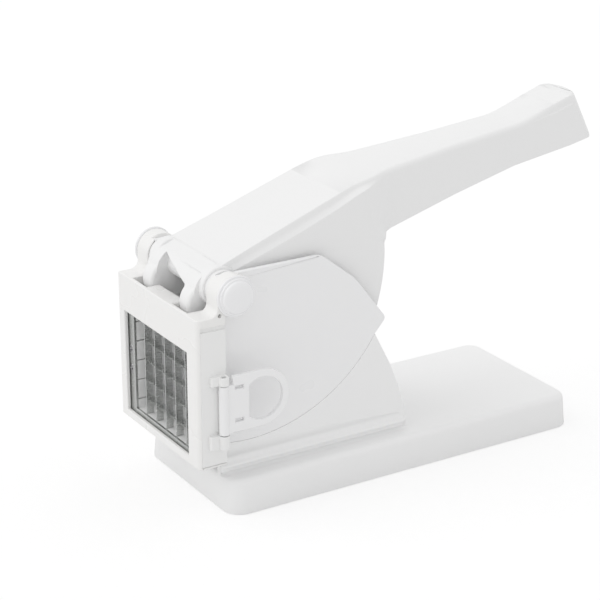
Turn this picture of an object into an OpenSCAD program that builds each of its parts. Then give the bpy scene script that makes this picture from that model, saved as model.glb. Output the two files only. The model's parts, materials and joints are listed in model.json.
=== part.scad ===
// French fry cutter: a hand lever swings a pusher through a potato chamber and presses the
// potato through a blade cassette, which pulls out sideways by its ring.
// Millimetres. X to the right, Y to the back (handle end), Z up, origin under the middle of the base.

/* [Base] */
// Length of the base from front to back
base_length = 240; // [220:1:280]
// Width of the base at its foot
base_width = 102; // [98:1:120]
// Height of the base
base_height = 20.6; // [18:0.2:24]
// Draft of each base side from foot to top
base_draft = 1.5; // [0.5:0.1:2.5]
// Radius of the base's upright corners
base_corner = 11; // [8:0.5:14]
// Rounding of the base's top edge
base_edge = 4; // [2:0.5:5]
// Wall of the base shell
base_wall = 3; // [2:0.2:4]
// Thickness of the plate that closes the base from below
bottom_plate = 2.4; // [1.6:0.2:3]
// Diameter of the rubber pads
pad_diameter = 14; // [10:1:18]
// Thickness of the rubber pads
pad_thickness = 1.4; // [1:0.1:1.6]

/* [Pivot] */
// Height of the lever pivot above the table
pivot_height = 129.6; // [126:0.2:134]
// Distance of the pivot behind the frame's rear face
pivot_set_back = 6; // [5:0.5:8]
// Diameter of the steel pivot shaft
shaft_diameter = 8; // [6:0.5:9]
// Radial play of the lever on the shaft
shaft_play = 0.06; // [0.02:0.01:0.1]
// Radius of the ear bosses around the pivot
ear_radius = 11; // [10:0.25:12]
// Diameter of the pivot caps
cap_diameter = 23.5; // [22.5:0.5:26]
// Height of the caps' domes
cap_dome = 3.2; // [2:0.2:4]

/* [Front frame] */
// Half of the frame's width
frame_half_width = 46.75; // [45.5:0.25:49]
// Depth of the frame from front to back
frame_depth = 17.7; // [17.5:0.1:20]
// Overhang of the frame past the front of the base
frame_overhang = 17.7; // [14:0.1:20]
// Underside of the frame above the table
frame_bottom = 31.5; // [29:0.5:33]
// Top of the frame's front edge above the table
frame_top = 119.3; // [118.6:0.1:120]
// Front wall of the frame
frame_front_wall = 2.5; // [2:0.1:3]
// Rear wall of the frame
frame_rear_wall = 1.8; // [1.4:0.1:2.4]
// Left edge of the front window
window_left = -40; // [-41:0.5:-36]
// Right edge of the front window
window_right = 34; // [32:0.5:36]
// Bottom edge of the front window above the table
window_bottom = 36; // [35:0.5:39]
// Top edge of the front window above the table
window_top = 97.3; // [92:0.5:99]

/* [Side plates and pedestal] */
// Half of the distance between the outer faces of the side plates
plate_half_width = 37; // [36.5:0.1:38]
// Thickness of a side plate and of the pedestal's walls
plate_thickness = 3; // [2.4:0.1:3.2]
// Radius of the seam between the side plates and the pedestal
seam_radius = 98.7; // [97:0.5:100]
// Width by which the pedestal's foot bead stands out
foot_bead = 1.4; // [0.8:0.2:2]
// Height of the pedestal's foot bead above the base
foot_rise = 5; // [4:0.5:7]

/* [Lever] */
// Half of the lever's width over its cheeks
cheek_half_width = 31; // [30:0.25:31.5]
// Thickness of a cheek
cheek_thickness = 3; // [2.4:0.1:3.4]
// Radius of the rear edge of the cheeks around the pivot
sector_radius = 108; // [106:0.5:110]
// Angle of the lever above its pressed position as it is modelled
rest_angle = 26; // [24:0.5:27]
// Length of the lever from the pivot to its end
lever_length = 271.4; // [262:0.2:285]
// Half of the handle's width at its waist
handle_half_width = 15.5; // [14:0.5:18]
// Wall of the lever's moulding
lever_wall = 3; // [2.4:0.1:3.4]
// Half of the width of the notch between the knuckles
notch_half_width = 16; // [14:0.5:17]
// Radius of the knuckle lobes in front of the pivot
lobe_radius = 12; // [11:0.25:12.5]

/* [Pusher] */
// Distance from the pivot to the lower edge of the pusher
pusher_reach = 89; // [86:0.5:89.5]
// Thickness of the pusher plate
pusher_thickness = 4; // [3:0.25:5]
// Distance of the pusher's face in front of the pivot when pressed
pusher_face = 3; // [2:0.25:3.4]
// Height of the studs on the pusher
stud_height = 2.4; // [1.5:0.1:2.5]
// Side of a square stud
stud_side = 7; // [5:0.5:8]

/* [Blade cassette] */
// Thickness of a blade
blade_thickness = 0.6; // [0.4:0.1:1]
// Distance from one blade to the next
blade_pitch = 12; // [11:0.5:14]
// Depth of the strips, from cutting edge to back
blade_depth = 4.6; // [4:0.2:4.8]
// Clearance around the cassette in its slot
slot_play = 0.3; // [0.2:0.05:0.4]
// Thickness of the end panel
panel_thickness = 3; // [2.4:0.2:3.6]
// Top of the end panel above the table
panel_top = 114; // [112:0.5:115]
// Bottom of the end panel above the table
panel_bottom = 33; // [32.6:0.1:34]

/* [Pull ring] */
// Diameter of the ring's steel hinge pin
ring_pin_diameter = 3; // [2.5:0.25:3.5]
// Outer diameter of the ring's hinge barrel
ring_barrel = 5.6; // [5.2:0.2:6]
// Height of the hinge barrel's middle above the table
ring_height = 66.1; // [62:0.5:70]
// Radial play of the ring on its pin
ring_play = 0.08; // [0.04:0.01:0.1]
// Length of the hinge barrel
ring_barrel_length = 29; // [26:0.5:32]
// Thickness of the ring
ring_thickness = 3; // [2.4:0.2:3.4]
// Radius of the ring's round end
ring_radius = 16.6; // [15:0.2:18]
// Width of the ring's rim
ring_rim = 4; // [3:0.25:5]

/* [Screws] */
// Diameter of the screws' shanks
screw_diameter = 3; // [2.5:0.1:3.4]
// Diameter of the screws' heads
screw_head = 6; // [5.5:0.1:6.4]

/* [Hidden] */
$fn = 64;

// Small shared values: the gap between pieces, the play around a screw, how far a cut runs past a face,
// the overlap of two shapes of one piece, and the fit of a shaft in its seat
gap = 0.3;
seat = 0.1;
eps = 0.5;
touch = 0.01;
shaft_fit = 0.02;
arc_steps = 8;

// Where the main pieces meet
frame_front = -base_length / 2 - frame_overhang;
frame_rear = frame_front + frame_depth;
pivot = [frame_rear + pivot_set_back, pivot_height];
plate_inside = plate_half_width - plate_thickness;
cheek_inside = cheek_half_width - cheek_thickness;
slot_front = frame_front + frame_front_wall;
slot_rear = frame_rear - frame_rear_wall;
lobe_offset = [-6.5, -9.1];
lobe_reach = norm(lobe_offset) + lobe_radius;
saddle_radius = lobe_reach + 0.5;
saddle_floor = pivot.y - sqrt(pow(saddle_radius, 2) - pow(pivot_set_back, 2));
slot_top = saddle_floor - 2;
slot_bottom = frame_bottom + 2.2;
slot_left = -frame_half_width + 3.75;
panel_inner = frame_half_width - panel_thickness;
floor_radius = pusher_reach + 2.5;
floor_thickness = 2.6;
tongue_top = pivot.y - floor_radius - floor_thickness;
seam_centre = [13.5, 7.4];

// ---------- outlines ----------

function unit(v) = v / norm(v);
function turned(p, a) = [p.x * cos(a) - p.y * sin(a), p.x * sin(a) + p.y * cos(a)];
function at_pivot(p) = pivot + p;

// One corner b of an outline between a and c, rounded to the radius r
function corner(a, b, c, r) =
    r == 0 ? [b] :
    let (u = unit(a - b), v = unit(c - b), half = acos(u * v) / 2)
    let (centre = b + unit(u + v) * r / sin(half), first = b + u * r / tan(half) - centre)
    let (last = b + v * r / tan(half) - centre)
    let (start = atan2(first.y, first.x), sweep = (atan2(last.y, last.x) - start + 540) % 360 - 180)
    [for (i = [0 : arc_steps])
        let (angle = start + sweep * i / arc_steps)
        centre + r * [cos(angle), sin(angle)]];

// A closed outline from corners given as [x, y, radius]
function rounded(corners) =
    let (n = len(corners), p = [for (c = corners) [c.x, c.y]])
    [for (i = [0 : n - 1]) each corner(p[(i + n - 1) % n], p[i], p[(i + 1) % n], corners[i].z)];

// A rectangle of the given half sizes with its corners rounded to the radius r
function rectangle(half, r) =
    rounded([for (s = [[-1, -1], [1, -1], [1, 1], [-1, 1]]) [s.x * half.x, s.y * half.y, r]]);

// Points of an arc around c from angle a to angle b
function arc(c, r, a, b, steps = 16) =
    [for (i = [0 : steps]) c + r * [cos(a + (b - a) * i / steps), sin(a + (b - a) * i / steps)]];

// Extrudes an outline of the Y-Z plane from x0 to x1
module across(x0, x1) {
    translate([x0, 0, 0])
        rotate([90, 0, 90])
            linear_extrude(x1 - x0)
                children();
}

// A rod along X around the point [y, z]
module rod(c, r, x0, x1) {
    translate([x0, c.x, c.y])
        rotate([0, 90, 0])
            cylinder(r = r, h = x1 - x0);
}

// A box from its lowest to its highest corner
module box(low, high) {
    translate(low)
        cube(high - low);
}

// Both sides of a piece that is drawn on the right
module both() {
    children();
    mirror([1, 0, 0])
        children();
}

// A countersunk screw with its head's face at the origin and its shank along +Z
module screw(length) {
    cylinder(r1 = screw_head / 2, r2 = screw_diameter / 2, h = (screw_head - screw_diameter) / 2);
    cylinder(d = screw_diameter, h = length);
}

// The hole for such a screw
module screw_hole(length) {
    sunk = (screw_head - screw_diameter) / 2;
    translate([0, 0, -eps])
        cylinder(d = screw_head + 2 * seat, h = eps + touch);
    cylinder(r1 = screw_head / 2 + seat, r2 = screw_diameter / 2 + seat, h = sunk);
    cylinder(d = screw_diameter + 2 * seat, h = length);
}

// ---------- base ----------

base_screw_inset = [12, 26];
base_screw_places = [for (x = [-1, 1], y = [-1, 0, 1])
    [x * (base_width / 2 - base_screw_inset.x), y * (base_length / 2 - base_screw_inset.y)]];
base_screw_length = base_height - base_wall - 4;
pedestal_screw_reach = [22, 88];
pedestal_screw_places = [for (x = [-1, 1], reach = pedestal_screw_reach)
    [x * (plate_inside - 4), pivot.x + reach]];
boss_height = 13;
pedestal_screw_length = base_wall + boss_height - 2;

// One rounded base block, drawn in from its outer faces by inset
module base_block(inset, low, high) {
    foot = [base_width / 2 - inset, base_length / 2 - inset];
    r = max(base_corner - inset, 1);
    e = max(base_edge - inset, 0.6);
    hull()
        for (x = [-1, 1], y = [-1, 1]) {
            translate([x * (foot.x - r), y * (foot.y - r), low])
                cylinder(r = r, h = 0.2, $fn = 32);
            translate([x * (foot.x - r - base_draft), y * (foot.y - r - base_draft), high - e])
                rotate_extrude($fn = 32)
                    polygon(concat([[0, -0.2], [r, -0.2]], arc([r - e, 0], e, 0, 90, 4), [[0, e]]));
        }
}

module base_shell() {
    color("white")
        difference() {
            union() {
                difference() {
                    base_block(0, 0, base_height);
                    base_block(base_wall, -0.1, base_height - base_wall);
                }
                for (p = base_screw_places)
                    translate([p.x, p.y, bottom_plate])
                        cylinder(d = screw_head + 2, h = base_height - base_wall - bottom_plate + 0.1);
            }
            for (p = base_screw_places)
                translate([p.x, p.y, 0])
                    screw_hole(base_screw_length + gap);
            for (p = concat(pedestal_screw_places, floor_screw_places))
                translate([p.x, p.y, base_height - base_wall])
                    screw_hole(base_wall + eps);
        }
}

pad_inset = [24, 22];
pad_places = [for (x = [-1, 1], y = [-1, 1])
    [x * (base_width / 2 - pad_inset.x), y * (base_length / 2 - pad_inset.y)]];

module base_plate() {
    inset = base_wall + 2 * gap;
    half = [base_width / 2 - inset, base_length / 2 - inset];
    color("gainsboro")
        difference() {
            linear_extrude(bottom_plate)
                polygon(rectangle(half, base_corner - base_wall));
            for (p = base_screw_places)
                translate([p.x, p.y, 0])
                    screw_hole(bottom_plate + eps);
            for (p = pad_places)
                translate([p.x, p.y, -eps])
                    cylinder(d = pad_diameter + 2 * seat, h = pad_thickness + eps);
        }
}

module base_pads() {
    color("dimgray")
        for (p = pad_places)
            translate([p.x, p.y, 0])
                cylinder(d = pad_diameter, h = pad_thickness);
}

module base_screws() {
    color("silver")
        for (p = base_screw_places)
            translate([p.x, p.y, 0])
                screw(base_screw_length);
}

// ---------- pedestal ----------

pedestal_front = pivot.x + 5;
shelf_thickness = 3;
shelf_back = pedestal_front + 14;
tongue_thickness = 4;
tongue_half_width = 24;
tongue_bottom = tongue_top - tongue_thickness;
frame_screw_places = [for (x = [-1, 1]) [x * (tongue_half_width - 6), pedestal_front + 8]];

// The seam between side plates and pedestal is an arc; its angles where it meets the frame and the notch
function seam_angle(u) = -acos((u - seam_centre.x) / seam_radius);
function seam_arc(r, from, to) = arc(at_pivot(seam_centre), r, from, to);
plate_tip = [104.4, -37];
notch_reach = plate_tip.x - 7.5;
notch = seam_centre + seam_radius * [cos(seam_angle(notch_reach)), sin(seam_angle(notch_reach))];
seam_back = seam_angle(notch_reach);
seam_frame = seam_angle(-pivot_set_back);
// The pedestal's side walls run on past its front wall up to the frame
wing_front = frame_rear + gap;
seam_wing = seam_angle(wing_front - pivot.x);

// Rear edge of the pedestal from its foot up, moved forward by inset
pedestal_reach = 119.5;
function pedestal_rear(inset) = [
    [pivot.x + pedestal_reach - inset, base_height],
    [pivot.x + pedestal_reach - 1 - inset, base_height + 12],
    [pivot.x + pedestal_reach - 6 - inset, pivot.y - 81],
    [pivot.x + pedestal_reach - 12 - inset, pivot.y - 66],
    [pivot.x + notch.x - inset, pivot.y + notch.y]
];

module pedestal_shell() {
    inner_front = pedestal_front + plate_thickness;
    inner_back = pivot.x + pedestal_reach - plate_thickness;
    difference() {
        across(-plate_half_width, plate_half_width)
            polygon(concat([[wing_front, base_height]], pedestal_rear(0),
                seam_arc(seam_radius + seat, seam_back - 1, seam_wing)));
        box([-plate_inside, frame_rear, base_height - eps], [plate_inside, pedestal_front, pivot.y]);
        across(-plate_inside, plate_inside)
            polygon(concat(
                [[inner_front, base_height - eps], [inner_back, base_height - eps]],
                pedestal_rear(plate_thickness), [[inner_front, pivot.y]]));
        rod(pivot, sector_radius + 1.5, -plate_inside, plate_inside);
    }
}

// The foot bead runs along both walls and the back above the groove that meets the base
module foot_bead_ring() {
    half = plate_half_width + foot_bead;
    back = pivot.x + pedestal_reach + foot_bead;
    translate([0, 0, base_height + 2])
        linear_extrude(foot_rise - 2)
            difference() {
                polygon(rounded([[-half, wing_front, 0], [half, wing_front, 0], [half, back, 8], [-half, back, 8]]));
                translate([-plate_inside, frame_rear])
                    square([2 * plate_inside, back - foot_bead - plate_thickness / 2 - frame_rear]);
            }
}

module pedestal() {
    color("white")
        difference() {
            union() {
                pedestal_shell();
                foot_bead_ring();
                box([-plate_inside - eps, pedestal_front, tongue_bottom - shelf_thickness],
                    [plate_inside + eps, shelf_back, tongue_bottom]);
                for (p = pedestal_screw_places)
                    translate([p.x, p.y, base_height])
                        cylinder(d = screw_head + 3, h = boss_height);
            }
            for (p = pedestal_screw_places)
                translate([p.x, p.y, base_height - eps])
                    cylinder(d = screw_diameter + 2 * seat, h = boss_height - 1.5 + eps);
            for (p = frame_screw_places)
                translate([p.x, p.y, tongue_bottom - shelf_thickness])
                    screw_hole(shelf_thickness + eps);
            box([-floor_half_width - gap, pedestal_front - eps, tongue_bottom],
                [floor_half_width + gap, pedestal_front + plate_thickness + eps, pivot.y]);
        }
}

module pedestal_screws() {
    color("silver")
        for (p = concat(pedestal_screw_places, floor_screw_places))
            translate([p.x, p.y, base_height - base_wall])
                screw(pedestal_screw_length);
}

// ---------- potato chamber ----------

floor_half_width = cheek_inside - 1;
floor_end = -60;
leg_half_width = 20;
leg_thickness = 3;
leg_back = pivot.x + 39;
floor_screw_places = [for (x = [-1, 1]) [x * (leg_half_width - 6), leg_back - leg_thickness / 2]];

module chamber_floor() {
    top = pivot.y - floor_radius;
    color("white")
        difference() {
            union() {
                box([-floor_half_width, frame_rear, tongue_top], [floor_half_width, pivot.x + touch, top]);
                across(-floor_half_width, floor_half_width)
                    polygon(concat(arc(pivot, floor_radius, -90, floor_end),
                        arc(pivot, floor_radius + floor_thickness, floor_end, -90)));
                difference() {
                    box([-leg_half_width, leg_back - leg_thickness, base_height],
                        [leg_half_width, leg_back, pivot.y - floor_radius * cos(90 + floor_end)]);
                    rod(pivot, floor_radius + floor_thickness / 2, -floor_half_width, floor_half_width);
                }
                for (p = floor_screw_places)
                    translate([p.x, p.y, base_height])
                        cylinder(d = screw_head + 3, h = boss_height);
            }
            for (p = floor_screw_places)
                translate([p.x, p.y, base_height - eps])
                    cylinder(d = screw_diameter + 2 * seat, h = boss_height - 1.5 + eps);
        }
}

// Upper and rear edge of a side plate as corners relative to the pivot, each with its rounding
plate_rise = 8.9;
plate_outline = [
    [-pivot_set_back, plate_rise, 0],
    [plate_tip.x - 43.9, plate_rise, 10],
    [plate_tip.x - 21.4, -plate_rise, 40],
    [plate_tip.x, plate_tip.y, 3],
    [notch.x, notch.y, 0]
];

module side_plate() {
    color("whitesmoke")
        difference() {
            across(plate_inside, plate_half_width)
                polygon(concat(
                    rounded([for (c = plate_outline) [pivot.x + c.x, pivot.y + c.y, c.z]]),
                    seam_arc(seam_radius, seam_back, seam_frame)));
            rod(pivot, shaft_diameter / 2 + shaft_fit, plate_inside - eps, plate_half_width + eps);
        }
}

module right_side_plate() {
    side_plate();
}

module left_side_plate() {
    mirror([1, 0, 0])
        side_plate();
}

// ---------- front frame ----------

panel_pocket_front = frame_front + 1.9;
chamber_mouth = pivot.y - floor_radius;
ear_counterbore = 7.6;
ear_fillet = 5;
spigot_length = 3;

module frame_block() {
    translate([0, 0, frame_bottom])
        linear_extrude(frame_top - frame_bottom)
            polygon(rounded([[-frame_half_width, frame_front, 1], [frame_half_width, frame_front, 3],
                [frame_half_width, frame_rear, 0], [-frame_half_width, frame_rear, 0]]));
}

// An ear that rises from the frame's corner and carries the shaft
module ear() {
    inner = plate_inside;
    outer = frame_half_width;
    foot = [pivot.x - ear_radius - ear_fillet, frame_top + ear_fillet];
    intersection() {
        union() {
            rod(pivot, ear_radius, inner, outer);
            box([inner, pivot.x - ear_radius, frame_top - ear_fillet], [outer, frame_rear, pivot.y]);
            difference() {
                box([inner, foot.x, frame_top - eps], [outer, pivot.x, foot.y]);
                rod(foot, ear_fillet, inner - eps, outer + eps);
            }
        }
        union() {
            box([inner, frame_front, frame_bottom], [frame_half_width, frame_rear, pivot.y + 20]);
            rod(pivot, ear_radius, plate_half_width, frame_half_width);
        }
    }
}

module front_frame() {
    color("white")
        difference() {
            union() {
                frame_block();
                both()
                    ear();
                box([-tongue_half_width, frame_rear - eps, tongue_bottom],
                    [tongue_half_width, shelf_back, tongue_top]);
            }
            box([window_left, frame_front - eps, window_bottom],
                [window_right, slot_front + eps, window_top]);
            box([-plate_inside, slot_rear - eps, chamber_mouth],
                [plate_inside, frame_rear + eps, window_top]);
            box([slot_left, slot_front, slot_bottom], [frame_half_width + eps, slot_rear, slot_top]);
            box([panel_inner - slot_play, panel_pocket_front, panel_bottom - slot_play],
                [frame_half_width + eps, frame_rear + eps, panel_top + slot_play]);
            both()
                rod(pivot, saddle_radius, notch_half_width - 1, cheek_half_width + 1);
            rod(pivot, norm(nose_offset) + nose_radius + gap, -notch_half_width, notch_half_width);
            rod(pivot, shaft_diameter / 2 + shaft_fit, -frame_half_width, frame_half_width);
            both()
                rod(pivot, ear_counterbore, frame_half_width - spigot_length - gap, frame_half_width + eps);
            for (p = frame_screw_places)
                translate([p.x, p.y, tongue_bottom - eps])
                    cylinder(d = screw_diameter + 2 * seat, h = tongue_thickness - 0.8 + eps);
        }
}

module frame_screws() {
    color("silver")
        for (p = frame_screw_places)
            translate([p.x, p.y, tongue_bottom - shelf_thickness])
                screw(shelf_thickness + tongue_thickness - 1.2);
}

shaft_half_length = frame_half_width - spigot_length - gap;

module pivot_shaft() {
    color("silver")
        rod(pivot, shaft_diameter / 2, -shaft_half_length, shaft_half_length);
}

module cap() {
    r = cap_diameter / 2;
    rim = 2.4;
    dome_radius = (pow(r, 2) + pow(cap_dome, 2)) / (2 * cap_dome);
    color("white")
        translate([frame_half_width, pivot.x, pivot.y])
            rotate([0, 90, 0]) {
                translate([0, 0, -spigot_length])
                    cylinder(r = ear_counterbore - seat, h = spigot_length + touch);
                rotate_extrude()
                    polygon(concat([[0, 0], [r, 0], [r, rim]],
                        arc([0, rim + cap_dome - dome_radius], dome_radius, acos(r / dome_radius), 90, 10)));
            }
}

module right_cap() {
    cap();
}

module left_cap() {
    mirror([1, 0, 0])
        cap();
}

// ---------- lever ----------

nose_offset = [-1.5, -3.4];
nose_radius = 13;
nose_inner = nose_radius - lever_wall;
sheet_slope = 19.4;
sheet_start = nose_offset + nose_radius * [-sin(sheet_slope), cos(sheet_slope)];
kink_reach = 92;
kink = [kink_reach, sheet_start.y + tan(sheet_slope) * (kink_reach - sheet_start.x)];
handle_slope = 6.2;
flare_reach = 212;
flare = [flare_reach, kink.y + tan(handle_slope) * (flare_reach - kink.x)];
end_top = [lever_length - 13.9, 70.8];
end_low = [lever_length + 0.3, 43];
sector_low = -18;
hub_radius = 10;
underside_start = 112;

handle_room_start = underside_start + 2;
handle_room_end = lever_length - 12;

// The handle's underside as corners relative to the pivot
underside = [
    [underside_start, 9],
    [flare_reach - 2, 30.9],
    [lever_length - 21.4, 37.2],
    [lever_length - 3.4, 39.9]
];

// Side view of the lever, its top lowered by wall
function top_line(wall) = [
    [sheet_start.x, sheet_start.y - wall, 0],
    [kink.x, kink.y - wall, 25],
    [flare.x, flare.y - wall, 60],
    [end_top.x - wall, end_top.y - wall, 11],
    [end_low.x - wall, end_low.y + wall / 2, 3]
];

function lever_side() =
    let (low = turned([-pusher_face, -pusher_reach], rest_angle))
    let (heel = turned([pusher_thickness, -pusher_reach], rest_angle))
    let (below = [for (i = [3 : -1 : 0]) [underside[i].x, underside[i].y, i == 3 ? 3 : 0]])
    concat(
        [for (p = rounded(concat(top_line(0), below, [[0, 0, 0]]))) if (norm(p) > 1) at_pivot(p)],
        arc(pivot, sector_radius, atan2(underside[0].y - 1, underside[0].x), sector_low),
        [at_pivot(heel), at_pivot(low), at_pivot(turned([-pusher_face, -6], rest_angle))]
    );

// Top view of the lever, drawn in from its outer faces by inset
function lever_half(inset) = [
    [-20, cheek_half_width - inset, 0],
    [kink_reach + 3, cheek_half_width - inset, 10],
    [underside_start + 1, handle_half_width + 7 - inset, 25],
    [(underside_start + flare_reach) / 2 + 4, handle_half_width + 1.7 - inset, 80],
    [flare_reach - 2, handle_half_width - inset, 80],
    [lever_length - 21.4, handle_half_width + 0.9 - inset, 30],
    [lever_length + 1 - inset, handle_half_width - 0.5 - inset, 12 - inset]
];

function lever_plan(inset) =
    let (side = lever_half(inset), last = len(side) - 1)
    let (right = [for (s = side) [s.y, s.x, s.z]])
    let (left = [for (i = [last : -1 : 0]) [-side[i].y, side[i].x, side[i].z]])
    [for (p = rounded(concat(right, left))) [p.x, pivot.x + p.y]];

module lever_outline_block(inset) {
    linear_extrude(2 * pivot.y)
        polygon(lever_plan(inset));
}

// Where the cheeks' full width ends under the handle, as a line relative to the pivot
shoulder = [[kink_reach - 8, 34], [underside_start - 3, 9.4]];

function sheet_height(u) = sheet_start.y + tan(sheet_slope) * (u - sheet_start.x);

// Corners below the lever that a cut runs past
below_lever = [[150, -50], [150, -100], [-30, -100]];

// The room under the top sheet, between the cheeks
module chamber_room() {
    back = shoulder[0].x - lever_wall;
    roof = [
        [sheet_start.x, sheet_start.y - lever_wall],
        [back, sheet_height(back) - lever_wall],
        [back, shoulder[0].y - lever_wall],
        [shoulder[1].x - lever_wall, shoulder[1].y - lever_wall]
    ];
    intersection() {
        across(-cheek_inside, cheek_inside)
            polygon([for (p = concat(roof, below_lever, [[-30, -5]])) at_pivot(p)]);
        rod(pivot, sector_radius - lever_wall, -cheek_inside, cheek_inside);
    }
}

// The cheeks keep their full width below the shoulder, up to the sector's rear edge
module full_width_room() {
    across(-cheek_half_width, cheek_half_width)
        polygon([for (p = concat(shoulder, below_lever, [[-30, shoulder[0].y]])) at_pivot(p)]);
}

// The room inside the handle, open below for the cover
module handle_room() {
    side = top_line(lever_wall);
    room = [
        [handle_room_start, 0],
        [handle_room_start, kink.y],
        [flare.x, side[2].y],
        [side[3].x - 2, side[3].y - 4],
        [handle_room_end, end_low.y],
        [handle_room_end, end_low.y / 2]
    ];
    intersection() {
        across(-cheek_half_width, cheek_half_width)
            polygon([for (p = room) at_pivot(p)]);
        lever_outline_block(lever_wall);
    }
}

// The steep band that narrows the top sheet above each cheek
module band_cut() {
    band = 3.5;
    drop = 7;
    reach = 98;
    outer = cheek_half_width + 2;
    translate([0, pivot.x + sheet_start.x, pivot.y + sheet_start.y])
        rotate([sheet_slope, 0, 0])
            translate([0, reach, 0])
                rotate([90, 0, 0])
                    linear_extrude(reach + lobe_radius)
                        polygon([[cheek_half_width - band, 0], [cheek_half_width, -drop], [outer, -drop],
                            [outer, 3], [cheek_half_width - band, 3]]);
}

// A knuckle between the notch and the cheek
module lobe() {
    rod(at_pivot(lobe_offset), lobe_radius, notch_half_width, cheek_inside + eps);
    rod(at_pivot(nose_offset), nose_radius, notch_half_width, cheek_inside + eps);
}

handle_screw_places = [underside_start + 16, (underside_start + lever_length) / 2 - 4.5, lever_length - 31];
handle_screw_length = 14;
cover_thickness = 2.6;

function underside_height(u) = lookup(u, underside);

module handle_screw_at(u) {
    translate([0, pivot.x + u, pivot.y + underside_height(u) + 1])
        children();
}

module lever_shell() {
    color("white")
        difference() {
            union() {
                difference() {
                    union() {
                        intersection() {
                            across(-cheek_half_width, cheek_half_width)
                                polygon(lever_side());
                            union() {
                                lever_outline_block(0);
                                full_width_room();
                            }
                        }
                        rod(at_pivot(nose_offset), nose_radius, -cheek_inside - eps, cheek_inside + eps);
                    }
                    chamber_room();
                    handle_room();
                    rod(at_pivot(nose_offset), nose_inner, -cheek_inside, cheek_inside);
                    both()
                        band_cut();
                }
                both() {
                    lobe();
                    rod(pivot, hub_radius, cheek_inside, plate_inside - gap);
                }
                intersection() {
                    across(-screw_head, screw_head)
                        polygon(lever_side());
                    for (u = handle_screw_places)
                        handle_screw_at(u)
                            translate([0, 0, cover_thickness])
                                cylinder(d = screw_head + 1, h = kink.y);
                }
            }
            notch_cut();
            rod(pivot, shaft_diameter / 2 + shaft_play, -plate_half_width, plate_half_width);
            for (u = handle_screw_places)
                handle_screw_at(u)
                    cylinder(d = screw_diameter + 2 * seat, h = handle_screw_length + gap);
            pusher_screw_cuts();
        }
}

// Puts its children in the pose of the pressed lever, around the pivot, and swings them back to rest
module pressed() {
    translate([0, pivot.x, pivot.y])
        rotate([rest_angle, 0, 0])
            children();
}

// The notch between the knuckles, its upper edge running down to the right
module notch_cut() {
    translate([0, pivot.x - shaft_diameter / 2 - 1, pivot.y])
        rotate([90, 0, 0])
            linear_extrude(saddle_radius)
                polygon([[-notch_half_width, nose_inner], [-notch_half_width, -saddle_radius],
                    [notch_half_width, -saddle_radius], [notch_half_width, 0]]);
}

module handle_cover() {
    low = [[handle_room_start + seat, 0], underside[1], underside[2], [handle_room_end - seat, 0]];
    line = [for (p = low) at_pivot([p.x, underside_height(p.x)])];
    color("whitesmoke")
        difference() {
            intersection() {
                across(-cheek_half_width, cheek_half_width)
                    polygon(concat(line, [for (i = [3 : -1 : 0]) line[i] + [0, cover_thickness]]));
                lever_outline_block(lever_wall + seat);
            }
            for (u = handle_screw_places)
                handle_screw_at(u)
                    screw_hole(handle_screw_length);
        }
}

module handle_screws() {
    color("silver")
        for (u = handle_screw_places)
            handle_screw_at(u)
                screw(handle_screw_length);
}

// ---------- pusher ----------

pusher_half_width = cheek_inside;
flange_depth = 7;
pusher_back = pusher_thickness - pusher_face;
pusher_screw_drops = [34, 72];
pusher_screw_places = [for (drop = pusher_screw_drops) [pusher_back + flange_depth / 2, -drop]];
pusher_screw_length = 9;
pusher_top = -16;
blade_middle = (chamber_mouth + window_top) / 2;
half_columns = floor((plate_inside - 4) / blade_pitch);
half_rows = floor(((window_top - chamber_mouth) / 2 - 4) / blade_pitch);

// Each stud stands opposite one cell of the blade grid, clear of the blades' lines
stud_places = [for (i = [-half_columns : half_columns - 1], j = [-half_rows : half_rows - 1])
    let (p = [(i + 0.5) * blade_pitch, blade_middle - pivot.y + (j + 0.5) * blade_pitch])
    if (p.y > stud_side / 2 - pusher_reach && p.y < pusher_top - stud_side / 2) p];

module pusher_plate() {
    inner = pusher_half_width - pusher_screw_length + 1;
    color("white")
        pressed()
            difference() {
                union() {
                    box([-pusher_half_width, -pusher_face, -pusher_reach],
                        [pusher_half_width, pusher_back, pusher_top]);
                    both() {
                        box([pusher_half_width - 3.5, pusher_back - touch, 3 - pusher_reach],
                            [pusher_half_width, pusher_back + flange_depth, pusher_top - 4]);
                        for (p = pusher_screw_places)
                            rod(p, flange_depth / 2, inner, pusher_half_width);
                    }
                    for (p = stud_places)
                        box([p.x - stud_side / 2, -pusher_face - stud_height, p.y - stud_side / 2],
                            [p.x + stud_side / 2, touch - pusher_face, p.y + stud_side / 2]);
                }
                both()
                    for (p = pusher_screw_places)
                        rod(p, screw_diameter / 2 + seat, inner + 1, pusher_half_width + 1);
            }
}

module at_pusher_screws() {
    pressed()
        both()
            for (p = pusher_screw_places)
                translate([cheek_half_width, p.x, p.y])
                    rotate([0, -90, 0])
                        children();
}

module pusher_screw_cuts() {
    at_pusher_screws()
        screw_hole(cheek_thickness + eps);
}

module pusher_screws() {
    color("silver")
        at_pusher_screws()
            screw(pusher_screw_length);
}

// ---------- blade cassette ----------

retainer_thickness = 1.6;
cassette_front = slot_front + slot_play;
cassette_rear = slot_rear - slot_play;
cassette_left = slot_left + slot_play;
cassette_low = slot_bottom + slot_play;
cassette_high = slot_top - slot_play;
blade_layer = cassette_front + retainer_thickness;
second_layer = blade_layer + blade_depth + 0.2;
blade_seat_side = 4;
blade_seat_low = 2;
blade_seat_high = 3;
border_middles = [(cassette_left - plate_inside) / 2, (panel_inner + plate_inside) / 2];
retainer_screw_places = [for (x = border_middles, z = [-0.5, 0.5]) [x, blade_middle + z * blade_pitch]];
retainer_screw_length = 8;
panel_screw_depth = (blade_layer + cassette_rear) / 2 + 1;
panel_screw_places = [for (z = [-1.5, 1.5]) [panel_screw_depth, blade_middle + z * blade_pitch]];
panel_screw_length = panel_inner + panel_thickness - plate_inside - 1;

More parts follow.
